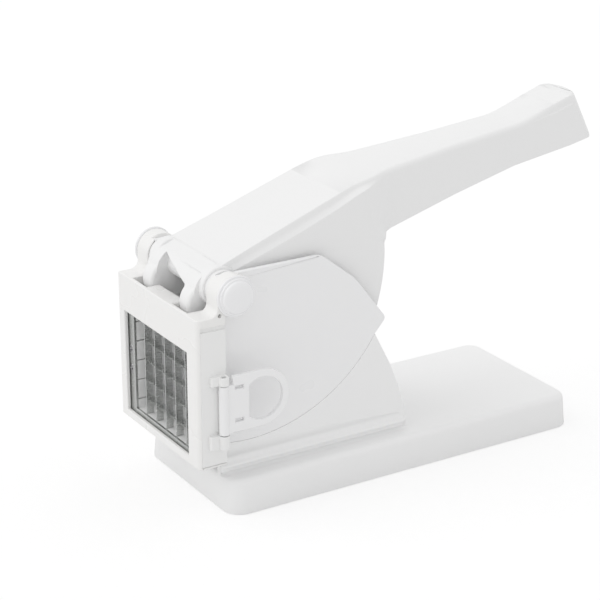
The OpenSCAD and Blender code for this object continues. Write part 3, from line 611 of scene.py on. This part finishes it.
# How far what is kept stands over the top, and how far it reaches down and along the handle
end_lift, end_depth, end_length = 0.3, 60, 80
block = [(243, 0), (300, 0), (300, 100), (243, 100)]
block_half = 40
slant = (Vector(end_top) - Vector(lever_end[0][:2])).normalized()
slope_up = (Vector(end_top) - Vector(flare)).normalized()
quarter = [math.radians(90) * i / 8 for i in range(1, 9)]
levels = [(0, -end_depth), (0, -end_edge)]
levels += [(end_edge * (1 - math.cos(t)), end_edge * (math.sin(t) - 1)) for t in quarter]
sections = []
for inset, height in levels:
    half, corner = end_half - inset, end_corner - inset
    shoulder = -end_bulge - inset
    plan = rounded([(-half, -end_length, 0), (half, -end_length, 0), (half, shoulder, corner),
                    (0, -inset, end_arc), (-half, shoulder, corner)], 10)
    places = [(q.x, Vector(end_top) + slope_up * q.y + slant * (height + end_lift)) for q in plan]
    sections.append([(x, q.x, q.y) for x, q in places])
around = from_pivot("around", across(block, -block_half, block_half))
combined(around, from_pivot("kept", lofted(sections)), "DIFFERENCE")
combined(lever, around, "DIFFERENCE")

# The room between the cheeks, its upper corners chamfered along the bands
cheek_inside = cheek_half - wall
chamfer = 5
room_back = 81
slope = (kink[1] - sheet_front[1]) / (kink[0] - sheet_front[0])
sections = []
for x, lowered in ((-cheek_inside, chamfer), (chamfer - cheek_inside, 0), (cheek_inside - chamfer, 0),
                   (cheek_inside, chamfer)):
    roof = sheet_front[1] - wall - lowered
    back_roof = roof + slope * (room_back - sheet_front[0])
    room = [(sheet_front[0], roof), (room_back, back_roof), (room_back, 31)]
    room += on_circle((0, 0), sector_radius - wall, 3.5, -60, 20) + [(-30, -100), (-30, -5)]
    sections.append([(x, p[0], p[1]) for p in room])
combined(lever, from_pivot("chamber room", lofted(sections)), "DIFFERENCE")

# The room in the handle, closed below by the cover, with bosses for the cover's screws
room_start, room_end = 114, 259.4
cover_thickness = 2.6
boss_radius, boss_height, screw_bore = 3.5, 18, 1.6
right_wall = [(half - wall, along) for along, half in plan_line if room_start - 1 < along < room_end + 1]
room_plan = right_wall + [(-x, y) for x, y in right_wall[::-1]]
room = from_pivot("handle room", lofted([[(x, y, height) for x, y in room_plan] for height in (0, 80)]))
room_side = [(room_start, 0), (room_start, kink[1]), (flare[0], flare[1] - wall), (252.5, 63.8),
             (room_end, 43), (room_end, 20)]
combined(room, from_pivot("side", across(room_side, -40, 40)), "INTERSECT")
combined(lever, room, "DIFFERENCE")
for low, high in islands(frame["nodes"]["handle_screws"]):
    centre = ((low.y + high.y) / 2 - pivot.y) / MM, (low.z - pivot.z) / MM
    boss = upright((0, centre[0]), boss_radius, centre[1] + cover_thickness, centre[1] + boss_height)
    combined(lever, from_pivot("boss", boss), "UNION")
    bore = upright((0, centre[0]), screw_bore, centre[1] - 5, (high.z - pivot.z) / MM + 0.3)
    combined(lever, from_pivot("bore", bore), "DIFFERENCE")

# Knuckles with rounded rims, rings around the shaft, and the sheet's rolled front edge between them
nose_centre, nose_radius = (-1.5, -3.4), 13
lobe_centre, lobe_radius, lobe_rim = (-6.5, -9.1), 12, 2.4
notch_half, knuckle_outer = 16, 27.2
ring_radius, ring_inner, ring_rim = 11.6, 24, 1
tube_radius, bore_radius = 7.5, 4.06
hub_radius, hub_inner, hub_reach = 10, 20, 33.65
roll = from_pivot("roll", rod(nose_centre, nose_radius, -knuckle_outer, knuckle_outer))
lip = [(-notch_half, 7.9), (1.3, 4.5), (notch_half, -0.1), (notch_half, -30), (-notch_half, -30)]
combined(roll, from_pivot("notch", lofted([[(x, y, z) for x, z in lip] for y in (20, -20)])), "DIFFERENCE")
hollow = rod(nose_centre, nose_radius - wall, -notch_half, notch_half)
combined(roll, from_pivot("hollow", hollow), "DIFFERENCE")
combined(roll, from_pivot("tube", rod((0, 0), tube_radius, -notch_half - 1, notch_half + 1)), "UNION")
combined(lever, roll, "UNION")

# Each disc of a knuckle by its centre, radius, inner and outer face and rounded rim
discs = [(lobe_centre, lobe_radius, notch_half, knuckle_outer, lobe_rim),
         ((0, 0), ring_radius, ring_inner, cheek_half, ring_rim)]
for side in (-1, 1):
    combined(lever, from_pivot("hub", rod((0, 0), hub_radius, side * hub_inner, side * hub_reach)), "UNION")
    for centre, radius, inner, outer, rim in discs:
        disc = from_pivot("disc", rod(centre, radius, side * inner, side * outer))
        combined(lever, edged(disc, rim * MM, 5, 60), "UNION")
combined(lever, from_pivot("bore", rod((0, 0), bore_radius, -40, 40)), "DIFFERENCE")

# The pusher's screws sit in countersunk holes of the cheeks: distance from the middle, and radius there
sunk_section = [(20, 1.6), (29.4, 1.6), (31, 3.15), (33, 3.15)]
for low, high in islands(frame["nodes"]["pusher_screws"]):
    centre = ((low.y + high.y) / 2 - pivot.y) / MM, (low.z + high.z) / 2 / MM - pivot.z / MM
    side = 1 if low.x > 0 else -1
    sunk = lofted([[(side * x, p[0], p[1]) for p in circle(centre, radius, 24)]
                   for x, radius in sunk_section])
    combined(lever, from_pivot("sunk", sunk), "DIFFERENCE")

lever_white = moulded_plastic("lever plastic", (0.9, 0.9, 0.9), 0.3)
fitted(smooth(lever, 28), "lever", lever_white, "lever_shell")

handle_cover = edged(carried("handle_cover"), 0.3 * MM, 2)
fitted(handle_cover, "lever", lever_white, "handle_cover")


# ---------------------------------------------------------------------------------------------
# Pusher
# A stiff plate between the cheeks, screwed through them from outside. Its square studs stand
# opposite the cells of the blade grid and push the strips through.

pusher_white = moulded_plastic("pusher plastic", (0.86, 0.86, 0.85), 0.36)
pusher = edged(carried("pusher_plate"), 0.4 * MM, 2)
fitted(pusher, "lever", pusher_white, "pusher_plate")


# ---------------------------------------------------------------------------------------------
# Blade cassette
# A plastic frame with two crossed layers of ground steel strips, clamped by a stainless sheet and
# four screws. It slides in the front frame's slot.

cassette_white = moulded_plastic("cassette plastic", (0.9, 0.9, 0.895), 0.32)
blade_steel = ground_steel("blade steel", (0.66, 0.67, 0.66), 0.24, (300, 300, 3000))
retainer_steel = ground_steel("retainer steel", (0.6, 0.61, 0.6), 0.3, (3000, 300, 200))

blade_frame = edged(carried("blade_frame"), 0.2 * MM, 2)
fitted(blade_frame, "cassette", cassette_white, "blade_frame")
retainer = edged(carried("blade_retainer"), 0.15 * MM, 2)
fitted(retainer, "cassette", retainer_steel, "blade_retainer")
ground_length, blade_end = 1.2 * MM, 0.1 * MM


def strip_form(name, length, thickness, depth, turned):
    """A hidden blade strip with its ground edge towards +Y, its foot at the origin."""
    t, ground = thickness / 2, depth - ground_length
    profile = [(-t, 0), (t, 0), (t, ground), (t / 3, depth), (-t / 3, depth), (-t, ground)]
    levels = [(0, 0.8), (blade_end, 1), (length - blade_end, 1), (length, 0.8)]
    shape = lofted([[(x * share, y, z) for x, y in profile] for z, share in levels])
    if turned:
        bmesh.ops.rotate(shape, matrix=Matrix.Rotation(math.radians(90), 3, "Y"), verts=shape.verts)
    item = as_object(name, shape)
    bpy.context.scene.collection.objects.unlink(item)
    return item


def node_group(name, inputs):
    """An empty Geometry Nodes group with named inputs, its copies realised and given their material."""
    group = bpy.data.node_groups.new(name, "GeometryNodeTree")
    sockets = {}
    group.interface.new_socket("Places", in_out="INPUT", socket_type="NodeSocketGeometry")
    for label, kind in inputs.items():
        sockets[label] = group.interface.new_socket(label, in_out="INPUT", socket_type=kind).identifier
    group.interface.new_socket("Copies", in_out="OUTPUT", socket_type="NodeSocketGeometry")
    given = group.nodes.new("NodeGroupInput")
    form = group.nodes.new("GeometryNodeObjectInfo")
    group.links.new(given.outputs["Form"], form.inputs["Object"])
    copies = group.nodes.new("GeometryNodeInstanceOnPoints")
    group.links.new(form.outputs["Geometry"], copies.inputs["Instance"])
    real = group.nodes.new("GeometryNodeRealizeInstances")
    group.links.new(copies.outputs["Instances"], real.inputs["Geometry"])
    paint = group.nodes.new("GeometryNodeSetMaterial")
    group.links.new(real.outputs["Geometry"], paint.inputs["Geometry"])
    group.links.new(given.outputs["Material"], paint.inputs["Material"])
    made = group.nodes.new("NodeGroupOutput")
    group.links.new(paint.outputs["Geometry"], made.inputs["Copies"])
    return group, sockets, given, copies


def repeated(name, places, group, sockets, values):
    """A plain mesh of what a Geometry Nodes group makes of the places with the given inputs."""
    item = as_object(name, places)
    modifier = item.modifiers.new("copies", "NODES")
    modifier.node_group = group
    for label, value in values.items():
        modifier[sockets[label]] = value
    return applied(item)


row, row_sockets, given, copies = node_group("row of blades", {
    "Count": "NodeSocketInt", "Start": "NodeSocketVector", "Step": "NodeSocketVector",
    "Form": "NodeSocketObject", "Material": "NodeSocketMaterial"})
rank = row.nodes.new("GeometryNodeMeshLine")
row.links.new(given.outputs["Count"], rank.inputs["Count"])
row.links.new(given.outputs["Start"], rank.inputs["Start Location"])
row.links.new(given.outputs["Step"], rank.inputs["Offset"])
row.links.new(rank.outputs["Mesh"], copies.inputs["Points"])

for node, long, thin in (("vertical_blades", 2, 0), ("horizontal_blades", 0, 2)):
    strips = sorted(islands(frame["nodes"][node]), key=lambda box: box[0][thin])
    low, high = strips[0]
    size = high - low
    foot = Vector(low)
    foot[thin] += size[thin] / 2
    form = strip_form(node + "_form", size[long], size[thin], size.y, long == 0)
    values = {"Count": len(strips), "Start": foot, "Step": strips[1][0] - low,
              "Form": form, "Material": blade_steel}
    blades = repeated(node + "_row", bmesh.new(), row, row_sockets, values)
    fitted(smooth(blades, 10), "cassette", blade_steel, node)


# ---------------------------------------------------------------------------------------------
# End panel and pull ring
# The cassette's end panel closes the slot flush with the frame. A flat ring hangs on its two lugs
# by a steel pin and swings out to be pulled.

end_panel = edged(carried("end_panel"), 0.4 * MM, 3)
panel_low, panel_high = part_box("end_panel")
# The panel closes its pocket in front and on top but for a hair, and leaves a fine joint behind
fit, joint, rim = 0.25 * MM, 0.3 * MM, 0.5 * MM
for vertex in end_panel.data.vertices:
    if vertex.co.y < panel_low.y + rim:
        vertex.co.y -= fit
    if vertex.co.y > panel_high.y - rim:
        vertex.co.y -= joint
    if vertex.co.z > panel_high.z - rim:
        vertex.co.z += fit
fitted(end_panel, "cassette", cassette_white, "end_panel")

ring_white = moulded_plastic("ring plastic", (0.925, 0.925, 0.93), 0.26)
ring = edged(carried("pull_ring"), 0.7 * MM, 4)
fitted(ring, "ring", ring_white, "pull_ring")
pin = edged(carried("ring_pin"), 0.3 * MM, 2)
fitted(pin, "cassette", shaft_steel, "ring_pin")


# ---------------------------------------------------------------------------------------------
# Underside and screws
# A plastic plate closes the base from below, with rubber pads pressed into its recesses. Zinc-plated
# countersunk screws hold the mouldings together.

underside_grey = moulded_plastic("underside plastic", (0.62, 0.62, 0.62), 0.5, 2)
base_plate = edged(carried("base_plate"), 0.3 * MM, 2)
fitted(base_plate, "housing", underside_grey, "base_plate")

pad_rubber = moulded_plastic("pad rubber", (0.03, 0.03, 0.032), 0.75, 3)
pads = edged(carried("base_pads"), 0.3 * MM, 2)
fitted(pads, "housing", pad_rubber, "base_pads")

screw_steel = ground_steel("zinc-plated steel", (0.6, 0.6, 0.61), 0.3, (600, 600, 600))
thread_pitch, thread_depth, plain_tip = 1 * MM, 0.22 * MM, 1.2 * MM
head_rim = 0.15 * MM
recess_reach, recess_width, recess_depth, recess_taper = 1.7 * MM, 0.7 * MM, 1.1 * MM, 0.6


def screw_form(name, length, head, shank):
    """A countersunk screw with a cross recess: its head's face at the origin, its thread along +Z."""
    sunk = (head - shank) / 2
    root = shank / 2 - thread_depth
    profile = [(head / 2 - head_rim, 0), (head / 2, head_rim), (shank / 2, sunk + head_rim)]
    height = sunk + 2 * head_rim
    while height < length - plain_tip:
        profile += [(root, height + thread_pitch / 2), (shank / 2, height + thread_pitch)]
        height += thread_pitch
    profile += [(root, length - head_rim), (shank / 4, length)]
    screw = as_object(name, lathe(profile))
    quarters = [(-1, -1), (1, -1), (1, 1), (-1, 1)]
    for reach_x, reach_y in ((recess_reach, recess_width / 2), (recess_width / 2, recess_reach)):
        slot = lofted([[(x * share * reach_x, y * share * reach_y, z) for x, y in quarters]
                       for z, share in ((-0.1 * MM, 1), (recess_depth, recess_taper))])
        combined(screw, as_object("slot", slot), "DIFFERENCE")
    bpy.context.scene.collection.objects.unlink(smooth(screw, 25))
    return screw


def head_is_low(mesh, centre, axis, length, head):
    """Whether a solid screw's head is at the low end of its axis, told by the corners of a head's face."""
    corner = math.hypot(length / 2, head / 2) - 0.1 * MM
    return any(corner < (v.co - centre).length < length and v.co[axis] < centre[axis] - length / 4
               for v in mesh.vertices)


screws, screw_sockets, given, copies = node_group("screws", {
    "Form": "NodeSocketObject", "Material": "NodeSocketMaterial"})
aim = screws.nodes.new("GeometryNodeInputNamedAttribute")
aim.data_type = "FLOAT_VECTOR"
aim.inputs["Name"].default_value = "aim"
turn = screws.nodes.new("FunctionNodeAlignRotationToVector")
turn.axis = "Z"
screws.links.new(aim.outputs["Attribute"], turn.inputs["Vector"])
screws.links.new(turn.outputs["Rotation"], copies.inputs["Rotation"])
screws.links.new(given.outputs["Places"], copies.inputs["Points"])

bodies = frame["record"]["behaviour"]["bodies"]
for node in [name for name in frame["nodes"] if name.endswith("_screws")]:
    places = bmesh.new()
    aims = places.verts.layers.float_vector.new("aim")
    for low, high in islands(frame["nodes"][node]):
        size, centre = high - low, (low + high) / 2
        head = sorted(size)[1]
        axis = max(range(3), key=lambda i: abs(size[i] - head))
        length = size[axis]
        facing = 1 if head_is_low(frame["nodes"][node].data, centre, axis, length, head) else -1
        place = Vector(centre)
        place[axis] -= facing * length / 2
        vertex = places.verts.new(place)
        vertex[aims] = [facing * (i == axis) for i in range(3)]
    form = screw_form(node + "_form", length, head, head / 2)
    body = next(name for name, members in bodies.items() if node in members)
    group = repeated(node + "_set", places, screws, screw_sockets, {"Form": form, "Material": screw_steel})
    fitted(group, body, screw_steel, node)


# ---------------------------------------------------------------------------------------------
# Studio
# A white room: an even soft light from all round, a wide soft lamp from the front left and above,
# and a pale floor that keeps the cutter's shadow.

camera_place = Vector((0.8779, -0.5848, 0.4918))
camera_turn = (math.radians(69.1), 0, math.radians(58.4))
camera_focal = 1913
picture_side = 600
sensor_width = 36
lamp_side = Vector((-0.25, -0.66, 0.71))
floor_half, floor_level = 6, -0.2 * MM

camera = bpy.data.objects.new("camera", bpy.data.cameras.new("camera"))
camera.location = camera_place
camera.rotation_euler = camera_turn
camera.data.sensor_width = sensor_width
camera.data.lens = camera_focal * sensor_width / picture_side
bpy.context.scene.collection.objects.link(camera)
bpy.context.scene.camera = camera

lamp_data = bpy.data.lights.new("soft lamp", "SUN")
lamp_data.energy = 0.6
lamp_data.angle = math.radians(50)
lamp = bpy.data.objects.new("soft lamp", lamp_data)
lamp.rotation_euler = lamp_side.to_track_quat("Z", "Y").to_euler()
bpy.context.scene.collection.objects.link(lamp)

world = bpy.data.worlds.new("white room")
world.use_nodes = True
nodes, links = world.node_tree.nodes, world.node_tree.links
nodes.clear()
# What the camera sees directly, in a reflection or through a piece is white, the rest is the room's light
rays = nodes.new("ShaderNodeLightPath")
seen = nodes.new("ShaderNodeMath")
seen.operation = "MAXIMUM"
links.new(rays.outputs["Is Camera Ray"], seen.inputs[0])
links.new(rays.outputs["Is Glossy Ray"], seen.inputs[1])
through = nodes.new("ShaderNodeMath")
through.operation = "MAXIMUM"
links.new(seen.outputs[0], through.inputs[0])
links.new(rays.outputs["Is Transmission Ray"], through.inputs[1])
room_light = nodes.new("ShaderNodeBackground")
room_light.inputs["Color"].default_value = (1, 1, 1, 1)
room_light.inputs["Strength"].default_value = 0.8
backdrop = nodes.new("ShaderNodeBackground")
backdrop.inputs["Color"].default_value = (1, 1, 1, 1)
backdrop.inputs["Strength"].default_value = 1
room = nodes.new("ShaderNodeMixShader")
links.new(through.outputs[0], room.inputs["Fac"])
links.new(room_light.outputs[0], room.inputs[1])
links.new(backdrop.outputs[0], room.inputs[2])
out = nodes.new("ShaderNodeOutputWorld")
links.new(room.outputs[0], out.inputs["Surface"])
bpy.context.scene.world = world

floor_shape = bmesh.new()
signs = [(-1, -1), (1, -1), (1, 1), (-1, 1)]
corners = [(sx * floor_half, sy * floor_half, floor_level) for sx, sy in signs]
floor_shape.faces.new([floor_shape.verts.new(corner) for corner in corners])
floor = as_object("floor", floor_shape)
floor_white = bpy.data.materials.new("pale floor")
floor_white.use_nodes = True
nodes, links = floor_white.node_tree.nodes, floor_white.node_tree.links
nodes.clear()
# The floor lights the cutter as white paint does, and glows for the camera so that only shadow shows
rays = nodes.new("ShaderNodeLightPath")
paint = nodes.new("ShaderNodeBsdfDiffuse")
paint.inputs["Color"].default_value = (0.88, 0.88, 0.88, 1)
faint = nodes.new("ShaderNodeBsdfDiffuse")
faint.inputs["Color"].default_value = (0.42, 0.42, 0.42, 1)
glow = nodes.new("ShaderNodeEmission")
glow.inputs["Color"].default_value = (1, 1, 1, 1)
glow.inputs["Strength"].default_value = 0.62
lit = nodes.new("ShaderNodeAddShader")
links.new(faint.outputs[0], lit.inputs[0])
links.new(glow.outputs[0], lit.inputs[1])
pale = nodes.new("ShaderNodeMixShader")
links.new(rays.outputs["Is Camera Ray"], pale.inputs["Fac"])
links.new(paint.outputs[0], pale.inputs[1])
links.new(lit.outputs[0], pale.inputs[2])
out = nodes.new("ShaderNodeOutputMaterial")
links.new(pale.outputs[0], out.inputs["Surface"])
floor.data.materials.append(floor_white)

bpy.context.scene.view_settings.view_transform = "Standard"
